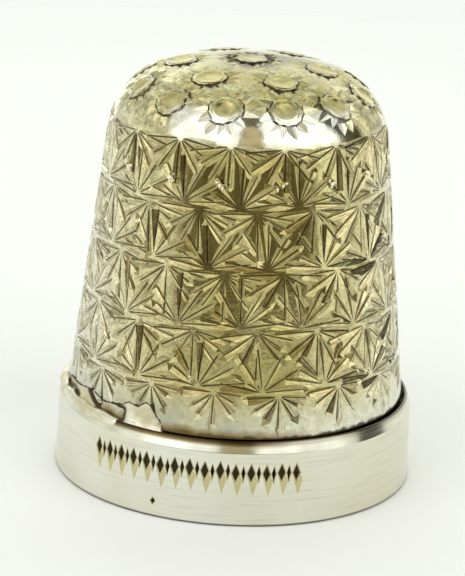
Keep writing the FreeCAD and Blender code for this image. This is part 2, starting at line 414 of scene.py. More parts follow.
# How thick its ends are, and how much thicker its middle is, as shares of its thickness.
BURR_ENDS, BURR_SWELL = 0.5, 0.7


def star_ray(centre, number, reach):
    """One ray of a star: where its fan opens, its direction, its length and its depth."""
    turn = 1 if number < len(FAN) else -1
    across, up, _ = local_axes(centre)
    hub = centre - across * (FAN_SIDESTEP * turn) + up * (FAN_LIFT * turn)
    degrees, length = FAN[number % len(FAN)]
    angle = math.radians(degrees + vary(RAY_TURN_SPREAD))
    heading = (across * math.cos(angle) + up * math.sin(angle)) * turn
    length = length * reach * random.uniform(*RAY_LENGTH_RANGE)
    depth = RAY_DEPTH * random.uniform(*RAY_DEPTH_RANGE)
    return hub, heading, length, depth


def star_rays():
    """Every ray of every star, sorted by its number, because equal rays never overlap; and the burrs.

    A star is two fans: one opens upwards from the left of its blank centre, and the other is
    the same fan turned half round. The top row has its lower fans only.
    """
    rays = [[] for _ in range(2 * len(FAN))]
    burrs = []
    for row, (height, phase) in enumerate(STAR_ROWS):
        for column in range(STARS_AROUND):
            azimuth = phase + 360 / STARS_AROUND * column + vary(STAR_TURN_SPREAD)
            centre = skirt_point(azimuth, height + vary(STAR_HEIGHT_SPREAD))
            for number in range(len(FAN) if row == 0 else 0, len(rays)):
                faint = row == len(STAR_ROWS) - 1 and number >= len(FAN)
                reach = LAST_ROW_REACH if faint else 1
                hub, heading, length, depth = star_ray(centre, number, reach)
                rays[number].append((hub + heading * RAY_START, hub + heading * length, depth))
                if row == BURR_ROW and number in BURR_RAYS:
                    burrs.append((hub + heading * (length * BURR_RAYS[number]), heading))
    return rays, burrs


def add_burr(bm, place, heading):
    """The tiny curl of silver that the graver raised on a ray."""
    base, normal = surface_at(place)
    side = normal.cross(heading)
    rings = []
    for step in range(BURR_STEPS + 1):
        turn = math.pi * (BURR_START + BURR_SWEEP * step / BURR_STEPS)
        out = side * math.cos(turn) + heading * math.sin(turn)
        swell = BURR_ENDS + BURR_SWELL * math.sin(math.pi * step / BURR_STEPS)
        centre = base + out * BURR_RADIUS - normal * BURR_SUNK
        rings.append(add_ring(bm, circle(centre, out, normal, BURR_THICKNESS * swell, BURR_SIDES)))
    faces = [bm.faces.new(rings[0]), bm.faces.new(rings[-1])] + bridge(bm, rings)
    mark_faces(bm, faces, RIM)


# ---- daisies on the crown
DIMPLE_RADIUS = 0.6
DIMPLE_DEPTH = 0.07
BALL_SEGMENTS, BALL_RINGS = 40, 96
DIMPLE_LIP = 0.035
LIP_STEPS, LIP_SIDES = 40, 8
# The daisies' rings: distance from the axis, number of daisies, first azimuth.
DAISY_RINGS = [(0.0, 1, 0.0), (3.4, 6, 25.0), (5.5, 12, 18.0)]
APEX_DISC_RADIUS, DISC_RADIUS = 0.85, 0.88
DISC_EDGE_SPREAD = 0.08
PETALS = 13
PETAL_TURN_SPREAD = 0.06
PETAL_LENGTH = 0.7
PETAL_LENGTH_RANGE = (0.8, 1.2)
PETAL_DEPTH = 0.085
PETAL_DEPTH_RANGE = (0.6, 1.4)
PETAL_CUT = {
    "slopes": (math.radians(13), math.radians(16)),
    "bulge": 0.12,
    "steps": 6,
    "lift": 0.05,
    "crease": 0.05,
    # A petal's end wall counts as a cut's bottom, so it gets black patina and painted shade.
    "wall": 0.0,
}


def daisy_centres():
    """The middle of each daisy, the apex one first."""
    for radius, count, phase in DAISY_RINGS:
        for number in range(count):
            yield crown_point(phase + 360 / count * number, radius)


def daisy_petals():
    """Every petal: a flute that deepens inwards and ends at the scalloped edge of the daisy's disc."""
    petals = [[] for _ in range(PETALS)]
    for order, centre in enumerate(daisy_centres()):
        across, up, _ = local_axes(centre)
        twist = random.uniform(0, 2 * math.pi)
        disc = DISC_RADIUS if order else APEX_DISC_RADIUS
        for number in range(PETALS):
            angle = twist + 2 * math.pi * number / PETALS + vary(PETAL_TURN_SPREAD)
            heading = across * math.cos(angle) + up * math.sin(angle)
            inner = disc + vary(DISC_EDGE_SPREAD)
            outer = disc + PETAL_LENGTH * random.uniform(*PETAL_LENGTH_RANGE)
            depth = PETAL_DEPTH * random.uniform(*PETAL_DEPTH_RANGE)
            petals[number].append((centre + heading * outer, centre + heading * inner, depth))
    return petals


def add_dimple(bm, centre):
    """A ball that leaves a shallow round dimple where the needle's head is held."""
    _, normal = surface_at(centre)
    ball_radius = (DIMPLE_RADIUS ** 2 + DIMPLE_DEPTH ** 2) / (2 * DIMPLE_DEPTH)
    place = Matrix.Translation((centre + normal * (ball_radius - DIMPLE_DEPTH)) * MM)
    tilt = normal.to_track_quat("Z", "Y").to_matrix().to_4x4()
    ball = bmesh.ops.create_uvsphere(
        bm,
        u_segments=BALL_SEGMENTS,
        v_segments=BALL_RINGS,
        radius=ball_radius * MM,
        matrix=place @ tilt,
    )
    mark_faces(bm, {face for vert in ball["verts"] for face in vert.link_faces}, DIMPLE)


def add_dimple_lip(bm, centre):
    """The fine ring of metal that the punch raised round a dimple."""
    across, up, normal = local_axes(centre)
    reach = DIMPLE_RADIUS + DIMPLE_LIP * 0.8
    rings = []
    for turn in full_turn(LIP_STEPS):
        out = across * math.cos(turn) + up * math.sin(turn)
        base, _ = surface_at(centre + out * reach)
        rings.append(add_ring(bm, circle(base, out, normal, DIMPLE_LIP, LIP_SIDES)))
    mark_faces(bm, bridge(bm, rings + rings[:1]), RIM)


def cup_normal(point, facing):
    """The smooth normal on the cup's outside; other faces keep their own."""
    _, normal = surface_at(point)
    return normal if normal.dot(facing) > SAME_WAY else facing.copy()


def make_cup(material):
    """The thin silver cup, turned, cut with stars and daisies, and dimpled."""
    outer = cup_profile(SKIRT_RADIUS, SHOULDER_RADIUS, CROWN_RADIUS, CROWN_TOP)
    inner_top = CROWN_TOP - CROWN_WALL
    inner_crown = CROWN_RADIUS - CROWN_WALL
    inner = cup_profile(SKIRT_RADIUS - SKIRT_WALL, HOLLOW_SHOULDER_RADIUS, inner_crown, inner_top)
    bm = bmesh.new()
    revolve(bm, inner[::-1] + outer, tips=[(0, inner_top), (-1, CROWN_TOP)])
    cup = new_object("thimble_cup", bm, [material] * 4)
    rays, burrs = star_rays()
    for group in rays:
        carve(cup, add_groove, group, **RAY_CUT)
    carve(cup, add_burr, burrs, operation="UNION")
    for group in daisy_petals():
        carve(cup, add_groove, group, **PETAL_CUT)
    dimples = [(centre,) for centre in daisy_centres()]
    carve(cup, add_dimple_lip, dimples[1:], operation="UNION")
    carve(cup, add_dimple, dimples)
    clean(cup)
    set_surface(cup, cup_normal)
    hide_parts("thimble_body")
    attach(cup, "root")


# ---- the band
PUNCHES = 15
PUNCH_FROM, PUNCH_TO = -47, 21
PUNCH_HEIGHT = 2.7
PUNCH_HEIGHT_SPREAD = 0.06
PUNCH_WIDE, PUNCH_NARROW = 0.5, 0.26
PUNCH_TALL = 1.2
PUNCH_DEPTH = 0.1
PUNCH_DEPTH_RANGE = (0.8, 1.1)
PUNCH_LIFT = 0.08
# A narrow mark and a second strike are this much shorter than a wide mark.
NARROW_SHARE = 0.8
ECHO_SHARE = 0.85
ECHO_TURN = 0.7
ECHO_DROP = 0.35
ECHO_DEPTH = 0.03
# Azimuth, height, width, length, depth and dirt, as for a punch mark.
SURFACE_PIT = (-24.7, 0.8, 0.32, 0.44, 0.1, 1.0)


def band_profile():
    """The band's half outline from its foot to its bore, with the outward direction at each point."""
    lean = math.atan2(BAND_FOOT_RADIUS - BAND_LIP_RADIUS, BAND_LIP_START)
    foot_centre = Vector((BAND_FOOT_RADIUS - BAND_FOOT_ROUNDING, BAND_FOOT_ROUNDING))
    crest_centre = Vector((BAND_BORE_RADIUS + BAND_CREST_ROUNDING, BAND_HEIGHT - BAND_CREST_ROUNDING))
    lip_start = Vector((BAND_LIP_RADIUS, BAND_LIP_START))
    outside = Vector((math.cos(lean), math.sin(lean)))
    bevel = Vector((math.cos(BAND_LIP_LEAN), math.sin(BAND_LIP_LEAN)))
    step = lip_start - crest_centre
    lip_radius = step.length_squared - BAND_CREST_ROUNDING ** 2
    lip_radius /= 2 * (step.dot(bevel) - BAND_CREST_ROUNDING)
    lip_centre = lip_start - bevel * lip_radius
    meet = math.atan2(crest_centre.y - lip_centre.y, crest_centre.x - lip_centre.x)
    arcs = [
        (foot_centre, BAND_FOOT_ROUNDING, -math.pi / 2, lean, 8),
        (lip_centre, lip_radius, BAND_LIP_LEAN, meet, 12),
        (crest_centre, BAND_CREST_ROUNDING, meet, math.pi, 12),
    ]
    profile = []
    for centre, radius, start, end, steps in arcs:
        for number in range(steps + 1):
            angle = start + (end - start) * number / steps
            direction = Vector((math.cos(angle), math.sin(angle)))
            place = centre + direction * radius
            if not profile or (place - profile[-1][0]).length > 1e-4:
                profile.append((place, direction))
        if centre is foot_centre:
            profile.append((lip_start - Vector((0, BAND_LIP_EASE)), outside))
    return profile


BAND_PROFILE = band_profile()


def band_normal(point, facing):
    """The outward direction of the band, blended between the two nearest points of its outline."""
    place = Vector((math.hypot(point.x, point.y), point.z))
    out = Vector((point.x, point.y, 0)).normalized()
    if facing.dot(out) < -SAME_WAY or facing.z < -SAME_WAY:
        return facing.copy()
    nearest_gap = math.inf
    nearest_normal = facing.copy()
    for (first, first_way), (second, second_way) in zip(BAND_PROFILE, BAND_PROFILE[1:]):
        span = second - first
        share = min(max((place - first).dot(span) / span.length_squared, 0), 1)
        way = first_way.lerp(second_way, share).normalized()
        gap = (first + span * share - place).length
        if gap < nearest_gap:
            nearest_gap = gap
            nearest_normal = out * way.x + UP * way.y
    return nearest_normal


def add_punch(bm, azimuth, height, wide, tall, depth, dirt):
    """A pointed wedge that presses a lozenge into the band's face."""
    out = outward(azimuth)
    side = UP.cross(out)
    lean = (BAND_FOOT_RADIUS - BAND_LIP_RADIUS) / BAND_LIP_START
    centre = out * (BAND_FOOT_RADIUS - lean * height) + UP * height
    grow = (1 + PUNCH_LIFT / depth) / 2
    tip = bm.verts.new((centre - out * depth) * MM)
    corners = [side * wide, UP * tall, side * -wide, UP * -tall]
    ring = add_ring(bm, [centre + out * PUNCH_LIFT + corner * grow for corner in corners])
    sides = [(tip, ring[number], ring[(number + 1) % 4]) for number in range(4)]
    faces = [bm.faces.new(corners) for corners in [ring] + sides]
    values = {vert: (0.0 if vert == tip else 1.0, dirt) for vert in ring + [tip]}
    mark_faces(bm, faces, CUT, values)


def punch_marks():
    """A border of lozenges with narrow ones between: azimuth, height, width, length, depth, dirt.

    The punch bounced: each wide lozenge has a faint second strike just below it. The groups come
    in the order in which they are cut.
    """
    pitch = (PUNCH_TO - PUNCH_FROM) / (PUNCHES - 1)
    echoes, wide_ones, narrow_ones = [], [], []
    for number in range(PUNCHES):
        turn = PUNCH_FROM + pitch * number
        height = PUNCH_HEIGHT + vary(PUNCH_HEIGHT_SPREAD)
        depth = PUNCH_DEPTH * random.uniform(*PUNCH_DEPTH_RANGE)
        short, echo = PUNCH_TALL * NARROW_SHARE, PUNCH_TALL * ECHO_SHARE
        wide_ones.append((turn, height, PUNCH_WIDE, PUNCH_TALL, depth, 1.0))
        narrow_ones.append((turn + pitch / 2, height, PUNCH_NARROW, short, depth, 1.0))
        echoes.append((turn + ECHO_TURN, height - ECHO_DROP, PUNCH_WIDE, echo, ECHO_DEPTH, 0.0))
    return echoes, wide_ones, narrow_ones[:-1], [SURFACE_PIT]


def make_band(material):
    """The plain band round the foot, with its border of punch marks."""
    bm = bmesh.new()
    revolve(bm, [tuple(point) for point, _ in BAND_PROFILE] + [(BAND_BORE_RADIUS, 0.0)])
    band = new_object("band_ring", bm, [material] * 3)
    for marks in punch_marks():
        carve(band, add_punch, marks)
    clean(band)
    set_surface(band, band_normal)
    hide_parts("rim_band")
    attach(band, "root")


# ---- solder
SOLDER_FOOT = 0.3
SOLDER_TOP = TAPER_START - 0.02
SOLDER_BITE = 0.1
SOLDER_FILLET = 0.06
SOLDER_SKIN = 0.08
SOLDER_SUNK = 0.4
# How deep below the skirt the skin may go where it dives into the wall.
SKIN_FLOOR = 0.1 - SOLDER_SUNK
# The skin's grid: where it starts and how far it goes, then its number of squares.
FLOOD_FROM, FLOOD_SWEEP = -87, 72
FLOOD_LOW, FLOOD_TALL = 3.6, 2.05
FLOOD_COLUMNS, FLOOD_ROWS = 260, 48
# Outlines on the skirt, as azimuth in degrees and height in millimetres.
FLOOD = [
    (-84, 3.6), (-83, 4.5), (-77, 4.8), (-66, 4.85), (-62, 4.95), (-57, 5.05), (-53, 4.85),
    (-48.5, 4.8), (-44.5, 4.9), (-40.5, 5.0), (-38, 5.2), (-34, 5.1), (-31, 5.4), (-29, 5.3),
    (-26, 4.8), (-24.5, 4.6), (-23.5, 4.15), (-19, 4.1), (-17, 3.6),
]
CRATER = [
    (-58, 5.0), (-54, 4.6), (-50.5, 4.35), (-47, 4.15), (-42.5, 4.1), (-40, 4.3),
    (-39.8, 4.72), (-44.5, 4.78), (-50, 4.7), (-54, 4.85),
]
BAY = [
    (-80, 4.35), (-77, 4.15), (-71, 4.05), (-67, 4.15), (-66, 4.35), (-70, 4.45), (-75, 4.4),
    (-79, 4.55),
]


def unrolled(azimuth, height):
    """A place on the skirt as if it were rolled out flat, in millimetres."""
    return Vector((azimuth * math.radians(SKIRT_RADIUS), height))


def inside_by(outline, place):
    """How far inside a closed outline a place is; negative when it is outside."""
    inside = False
    nearest = math.inf
    for first, second in zip(outline, outline[1:] + outline[:1]):
        span = second - first
        share = min(max((place - first).dot(span) / span.length_squared, 0), 1)
        nearest = min(nearest, (first + span * share - place).length)
        if (first.y > place.y) != (second.y > place.y):
            crossing = first.x + span.x * (place.y - first.y) / span.y
            inside = inside != (place.x < crossing)
    return nearest if inside else -nearest


def flood_skin(azimuth, height, flood, crater, bay):
    """How far the solder stands off the skirt here, and how far this is from its outline, which sets the
    painted shadow along its edge.
    """
    place = unrolled(azimuth, height)
    within = inside_by(flood, place)
    holes = -max(inside_by(crater, place), inside_by(bay, place))
    # The distance is shrunk round the crater and the bay, so the painted shadow there is wider.
    from_outline = min(abs(min(within, holes * 0.25)), 1)
    depth = min(within, holes) + 0.045 * noise.noise(Vector((place.x * 5, place.y * 5, 0)))
    if depth <= 0:
        return max(depth * 3, SKIN_FLOOR), from_outline
    lump = 0.03 * noise.noise(Vector((place.x * 2.5, place.y * 2.5, 7)))
    pooled = 0.13 * min(max((4.35 - height) / 0.35, 0), 1)
    return (SOLDER_SKIN + lump + pooled) * (1 - math.exp(-depth / 0.05)), from_outline


def add_flood(bm):
    """A thin ragged skin of solder over the skirt. Outside its outline it dives into the cup's wall."""
    # Each vertex's distance from the outline, for the painted shadow along the solder's edge.
    edge = bm.verts.layers.float.new("edge")
    outlines = [[unrolled(*corner) for corner in outline] for outline in (FLOOD, CRATER, BAY)]
    columns, rows = FLOOD_COLUMNS, FLOOD_ROWS
    top, bottom = {}, {}
    for row in range(rows + 1):
        height = FLOOD_LOW + FLOOD_TALL * row / rows
        for column in range(columns + 1):
            azimuth = FLOOD_FROM + FLOOD_SWEEP * column / columns
            skin, from_outline = flood_skin(azimuth, height, *outlines)
            point = skirt_point(azimuth, height)
            _, normal = surface_at(point)
            top[row, column] = bm.verts.new((point + normal * skin) * MM)
            top[row, column][edge] = from_outline
            bottom[row, column] = bm.verts.new((point - normal * SOLDER_SUNK) * MM)
    for layer in (top, bottom):
        for row in range(rows):
            for column in range(columns):
                corners = (row, column), (row, column + 1), (row + 1, column + 1), (row + 1, column)
                bm.faces.new([layer[corner] for corner in corners])
    border = [(0, column) for column in range(columns)]
    border += [(row, columns) for row in range(rows)]
    border += [(rows, column) for column in range(columns, 0, -1)]
    border += [(row, 0) for row in range(rows, 0, -1)]
    for first, second in zip(border, border[1:] + border[:1]):
        bm.faces.new((top[first], top[second], bottom[second], bottom[first]))


ROPE_FROM, ROPE_TO = -110, -41
ROPE_STEPS, ROPE_SIDES = 120, 20
ROPE_AXIS_RADIUS, ROPE_HEIGHT = 8.36, 4.0
# The rope is this thick at its ends, and its middle adds a swell and a random grain.
ROPE_THIN = 0.17
ROPE_SWELL = 0.12
ROPE_GRAIN = 0.06
ROPE_TALLER = 1.15


def add_rope(bm):
    """The lumpy rope of solder that lies over the joint beside the flood."""
    edge = bm.verts.layers.float.get("edge")
    rings = []
    for step in range(ROPE_STEPS + 1):
        share = step / ROPE_STEPS
        out = outward(ROPE_FROM + (ROPE_TO - ROPE_FROM) * share)
        swell = min(share / 0.3, (1 - share) / 0.08, 1) ** 0.5
        places = []
        for side, turn in enumerate(full_turn(ROPE_SIDES)):
            grain = noise.noise(Vector((step * 0.11, side * 0.5, 3)))
            reach = ROPE_THIN + swell * (ROPE_SWELL + ROPE_GRAIN * grain)
            radius = ROPE_AXIS_RADIUS + reach * math.cos(turn)
            height = ROPE_HEIGHT + reach * ROPE_TALLER * math.sin(turn)
            places.append(out * radius + UP * height)
        rings.append(add_ring(bm, places))
        # The rope's edge value keeps it free of the painted outline shadow.
        for vert in rings[-1]:
            vert[edge] = 1.0
    bridge(bm, rings)
    bm.faces.new(rings[0])
    bm.faces.new(rings[-1])


def make_solder(material):
    """The ring of solder in the joint, the skin where it flooded the skirt, and the rope over it."""
    bm = bmesh.new()
    inside, outside = SKIRT_RADIUS - SOLDER_BITE, BAND_BORE_RADIUS
    outline = [
        (inside, SOLDER_FOOT),
        (outside, SOLDER_FOOT),
        (outside, SOLDER_TOP - SOLDER_FILLET),
        (outside - SOLDER_FILLET / 2, SOLDER_TOP - SOLDER_FILLET / 2),
        (SKIRT_RADIUS, SOLDER_TOP),
        (inside, SOLDER_TOP),
    ]
    revolve(bm, outline)
    add_flood(bm)
    add_rope(bm)
    solder = new_object("solder_flood", bm, [material])
    solder.data.shade_smooth()
    solder.data.set_sharp_from_angle(angle=math.radians(50))
    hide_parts("solder_seam")
    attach(solder, "root")


# ---- node helpers
def add_node(tree, kind, inputs=None, **settings):
    """Add a shader node. Each input is given a value, or another node's output to follow."""
    node = tree.nodes.new("ShaderNode" + kind)
    for name, value in settings.items():
        setattr(node, name, value)
    for key, value in (inputs or {}).items():
        if isinstance(value, bpy.types.NodeSocket):
            tree.links.new(value, node.inputs[key])
        else:
            node.inputs[key].default_value = value
    return node


def calculate(tree, operation, *values):
    """The output of one Math node."""
    return add_node(tree, "Math", dict(enumerate(values)), operation=operation).outputs[0]


def product(tree, *values):
    """The values multiplied, from left to right."""
    return reduce(lambda total, value: calculate(tree, "MULTIPLY", total, value), values)


def largest(tree, *values):
    """The largest of the values."""
    return reduce(lambda total, value: calculate(tree, "MAXIMUM", total, value), values)


def ramp(tree, value, start, end, low=0.0, high=1.0):
    """A smooth step from low to high as the value goes from start to end."""
    inputs = {"Value": value, "From Min": start, "From Max": end, "To Min": low, "To Max": high}
    node = add_node(tree, "MapRange", inputs, interpolation_type="SMOOTHSTEP")
    return node.outputs["Result"]


def mix_colour(tree, factor, first, second):
    """The first colour where the factor is 0, and the second where it is 1."""
    inputs = {0: factor}
    for index, colour in ((6, first), (7, second)):
        inputs[index] = colour if isinstance(colour, bpy.types.NodeSocket) else (*colour, 1)
    return add_node(tree, "Mix", inputs, data_type="RGBA").outputs[2]


def coat(tree, colour, stain, *masks):
    """The colour, with a stain over it where every mask is near 1."""
    return mix_colour(tree, product(tree, *masks), colour, stain)


def clouds(tree, place, scale, detail=3.0):
    """Noise between 0 and 1, mostly near 0.5."""
    node = add_node(tree, "TexNoise", {"Vector": place, "Scale": scale, "Detail": detail})
    return node.outputs["Fac"]


def patches(tree, place, scale, detail, start, end, low=0.0, high=1.0):
    """Random patches: low where the noise is below the start, and high where it is above the end."""
    return ramp(tree, clouds(tree, place, scale, detail), start, end, low, high)


def attribute(tree, name):
    """A number stored in the mesh."""
    return add_node(tree, "Attribute", attribute_name=name).outputs["Fac"]


def start_material(name, metallic=1.0):
    """A new material: itself, its node tree, its shader, and the place on the object."""
    material = bpy.data.materials.new(name)
    material.use_nodes = True
    tree = material.node_tree
    shader = tree.nodes["Principled BSDF"]
    shader.inputs["Metallic"].default_value = metallic
    return material, tree, shader, add_node(tree, "TexCoord").outputs["Object"]


def finish_material(tree, shader, colour, roughness, relief, strength, distance):
    """Give the shader its colour, roughness and fine relief; the distance is in metres."""
    tree.links.new(colour, shader.inputs["Base Color"])
    tree.links.new(roughness, shader.inputs["Roughness"])
    bump = add_node(tree, "Bump", {"Strength": strength, "Distance": distance, "Height": relief})
    tree.links.new(bump.outputs["Normal"], shader.inputs["Normal"])


# ---- materials
CLEAN_SILVER = (0.84, 0.83, 0.72)
BURR_SILVER = (0.95, 0.90, 0.70)
PALE_SILVER = (0.91, 0.85, 0.54)
TARNISH = (0.48, 0.42, 0.16)
GREY_TARNISH = (0.42, 0.41, 0.24)
# Brown: real tarnish in flecks and strokes, and also painted shade above the band and painted reflection
# of the skirt on the band's crest.
BROWN_TARNISH_SHADE_AND_REFLECTION = (0.24, 0.17, 0.06)
DIMPLE_TARNISH = (0.50, 0.44, 0.18)
GREY_STAIN = (0.34, 0.36, 0.33)
WARM_TARNISH = (0.50, 0.35, 0.12)
OLIVE_TARNISH = (0.27, 0.24, 0.08)
# Black: real patina in the cuts and at the apex, and also painted shade at cut bottoms, in the joint's
# groove, under the band's foot and along the solder's outline.
BLACK_PATINA_AND_SHADE = (0.045, 0.03, 0.01)
BAND_SILVER = (0.805, 0.795, 0.71)
BAND_YELLOWED = (0.745, 0.725, 0.59)
BAND_LINES = (0.60, 0.58, 0.46)
PUNCH_TARNISH = (0.52, 0.44, 0.17)
PUNCH_DIRT = (0.02, 0.014, 0.006)
SOLDER_PALE = (0.80, 0.78, 0.64)
SOLDER_DULL = (0.62, 0.57, 0.38)

# Where the cup is worn, with the coordinates in metres that tell it. "aside" is how far a place
# is to either side of the middle of the front.
Zones = namedtuple("Zones", "x y z aside shoulder foot worn kept")


def cup_zones(tree, place):
    """Wear polished the front of the shoulder, the foot above the band, and the flanks."""
    x, y, z = add_node(tree, "SeparateXYZ", {0: place}).outputs
    aside = calculate(tree, "ABSOLUTE", calculate(tree, "SUBTRACT", x, 0.0005))
    above_stars = ramp(tree, z, 0.0177, 0.0184)
    below_crown = ramp(tree, z, 0.0191, 0.0197, 1.0, 0.0)
    in_front = ramp(tree, aside, 0.0036, 0.0048, 1.0, 0.0)
    shoulder = product(tree, above_stars, below_crown, in_front)
    flank = ramp(tree, aside, 0.0012, 0.0075, 0.0, 0.9)
    foot = ramp(tree, z, 0.0042, 0.0066, 0.65, 0.0)
    worn = largest(tree, flank, foot, shoulder)
    kept = calculate(tree, "SUBTRACT", 1.0, worn)
    return Zones(x, y, z, aside, shoulder, foot, worn, kept)


def worn_silver(tree, place, zones):
    """Yellow tarnish on the middle of the skirt, and cleaner metal where hands rubbed it."""
    patchy = patches(tree, place, 420.0, 4.0, 0.3, 0.6, 0.7, 1.0)
    colour = mix_colour(tree, product(tree, zones.kept, patchy), PALE_SILVER, TARNISH)
    sides = ramp(tree, zones.aside, 0.0048, 0.0085, 0.0, 0.8)
    right = ramp(tree, zones.x, -0.002, 0.004, 0.1, 1.3)
    cleaned = largest(tree, zones.shoulder, sides, product(tree, zones.foot, right))
    return coat(tree, colour, CLEAN_SILVER, cleaned)


def tarnish_spots(tree, place, zones, colour):
    """Grey mottling, brown flecks, warm patches and a fine olive speckle."""
    top = ramp(tree, zones.z, 0.0176, 0.0190, 0.35)
    unpolished = ramp(tree, zones.shoulder, 0.0, 1.0, 1.0, 0.0)
    mottle = patches(tree, place, 2600.0, 5.0, 0.4, 0.6, 0.0, 0.9)
    colour = coat(tree, colour, GREY_TARNISH, mottle, top, unpolished)
    flecks = patches(tree, place, 4200.0, 2.0, 0.6, 0.68, 0.0, 0.8)
    colour = coat(tree, colour, BROWN_TARNISH_SHADE_AND_REFLECTION, flecks, top, unpolished)
    warm = patches(tree, place, 760.0, 4.0, 0.52, 0.66, 0.0, 0.28)
    colour = coat(tree, colour, WARM_TARNISH, warm, zones.kept)
    speckle = patches(tree, place, 9000.0, 3.0, 0.46, 0.66, 0.0, 0.45)
    dull = ramp(tree, largest(tree, zones.shoulder, zones.foot), 0.0, 0.6, 1.0, 0.0)
    return coat(tree, colour, OLIVE_TARNISH, speckle, dull)


def dimples_and_burrs(tree, zones, colour):
    """Yellow dimples, and bright burrs; the raised lips on the crown stay as they are."""
    colour = coat(tree, colour, DIMPLE_TARNISH, attribute(tree, "dimple"), 0.8)
    below_crown = ramp(tree, zones.z, 0.0176, 0.0180, 0.85, 0.0)
    return coat(tree, colour, BURR_SILVER, attribute(tree, "raised"), below_crown)


def apex_grime(tree, place, zones, colour):
    """Ragged black grime round the disc of the daisy at the apex."""
    squares = product(tree, zones.x, zones.x), product(tree, zones.y, zones.y)
    radius = calculate(tree, "SQRT", calculate(tree, "ADD", *squares))
    outside = ramp(tree, radius, 0.0003, 0.0008)
    inside = ramp(tree, radius, 0.0012, 0.0021, 1.0, 0.0)
    on_crown = ramp(tree, zones.z, 0.0180, 0.0190)
    ragged = patches(tree, place, 3400.0, 4.0, 0.39, 0.52, 0.0, 0.92)
    return coat(tree, colour, BLACK_PATINA_AND_SHADE, outside, inside, ragged, on_crown)


def foot_stain(tree, place, zones, colour):
    """A cloudy grey stain on the foot, strongest at the left."""
    left = ramp(tree, zones.x, 0.0, 0.003, 1.55, 0.3)
    cloudy = patches(tree, place, 520.0, 4.0, 0.38, 0.58, 0.45, 0.85)
    return coat(tree, colour, GREY_STAIN, zones.foot, left, cloudy)


def graver_marks(tree):
    """The cut mark, fine lines that run along a cut, and the mask of its sharp bottom, which is darkened
    for patina and painted shade.
    """
    cut = attribute(tree, "cut")
    across, along = attribute(tree, "across"), attribute(tree, "along")
    stretched = {0: product(tree, across, 14.0), 1: product(tree, along, 1.2)}
    lines = clouds(tree, add_node(tree, "CombineXYZ", stretched).outputs[0], 1.0)
    # Patina and painted shade: dark where a corner is near the bottom of a cut.
    bottom = ramp(tree, across, 0.01, 0.06, 0.95, 0.0)
    return cut, lines, product(tree, cut, bottom)


def cut_patina_and_shade(tree, zones, colour, cut, lines, crease):
    """Brown strokes along the skirt's cuts, and black in the bottom of every cut: patina, and painted
    shade of the narrow V.
    """
    on_skirt = ramp(tree, zones.z, 0.0180, 0.0190, 0.65, 0.0)
    colour = coat(tree, colour, BROWN_TARNISH_SHADE_AND_REFLECTION, cut, on_skirt, ramp(tree, lines, 0.42, 0.6))
    # Painted shade with patina: the cut bottoms darken to black.
    return coat(tree, colour, BLACK_PATINA_AND_SHADE, crease, ramp(tree, zones.worn, 0.4, 1.0, 1.0, 0.8))


def joint_dirt_and_shade(tree, place, zones, colour):
    """Brown and black just above the band, with a ragged upper edge: dirt in the joint and painted shade
    of the groove between the skirt and the band's lip.
    """
    ragged = calculate(tree, "MULTIPLY_ADD", clouds(tree, place, 1500.0, 4.0), -0.0005, zones.z)
    left = ramp(tree, zones.x, 0.0015, 0.0045, 0.9, 0.0)
    # Dirt and painted shade: brown, mostly at the left.
    colour = coat(tree, colour, BROWN_TARNISH_SHADE_AND_REFLECTION, left, ramp(tree, ragged, 0.0041, 0.0045, 1.0, 0.0))
    right = ramp(tree, zones.x, -0.0035, 0.003, 0.6)
    # Painted shade of the groove: a black line along the joint, stronger at the right.
    return coat(tree, colour, BLACK_PATINA_AND_SHADE, right, ramp(tree, ragged, 0.00404, 0.00418, 0.95, 0.0))


def cup_relief(tree, place, cut, lines):
    """Fine grain everywhere, lines along the cuts, and cuts whose flanks are slightly hollow."""
    fine = calculate(tree, "MULTIPLY_ADD", clouds(tree, place, 7000.0), 0.5, clouds(tree, place, 2600.0))
    relief = calculate(tree, "MULTIPLY_ADD", product(tree, cut, lines), 2.5, fine)
    square = calculate(tree, "POWER", attribute(tree, "across"), 2.0)
    return calculate(tree, "MULTIPLY_ADD", product(tree, square, cut), 60.0, relief)


def cup_silver():
    """Old silver: polished by wear on the shoulder, tarnished yellow elsewhere, dark in the cuts."""
    material, tree, shader, place = start_material("cup_silver_worn")
    zones = cup_zones(tree, place)
    cut, lines, crease = graver_marks(tree)
    colour = worn_silver(tree, place, zones)
    colour = tarnish_spots(tree, place, zones, colour)
    colour = dimples_and_burrs(tree, zones, colour)
    colour = apex_grime(tree, place, zones, colour)
    colour = foot_stain(tree, place, zones, colour)
    colour = cut_patina_and_shade(tree, zones, colour, cut, lines, crease)
    colour = joint_dirt_and_shade(tree, place, zones, colour)
    grain = patches(tree, place, 5200.0, 2.0, 0.35, 0.75, 0.08, 0.15)
    roughness = calculate(tree, "MULTIPLY_ADD", cut, 0.08, grain)
    relief = cup_relief(tree, place, cut, lines)
    finish_material(tree, shader, colour, roughness, relief, 0.25, 0.00002)
    return material


def punch_colours(tree, colour):
    """Yellow tarnish in the punch marks, and black dirt at the bottom of the dirty ones."""
    cut = attribute(tree, "cut")
    colour = coat(tree, colour, PUNCH_TARNISH, cut, 0.75)
    bottom = ramp(tree, attribute(tree, "across"), 0.34, 0.46, 0.97, 0.0)
    return coat(tree, colour, PUNCH_DIRT, cut, attribute(tree, "along"), bottom)


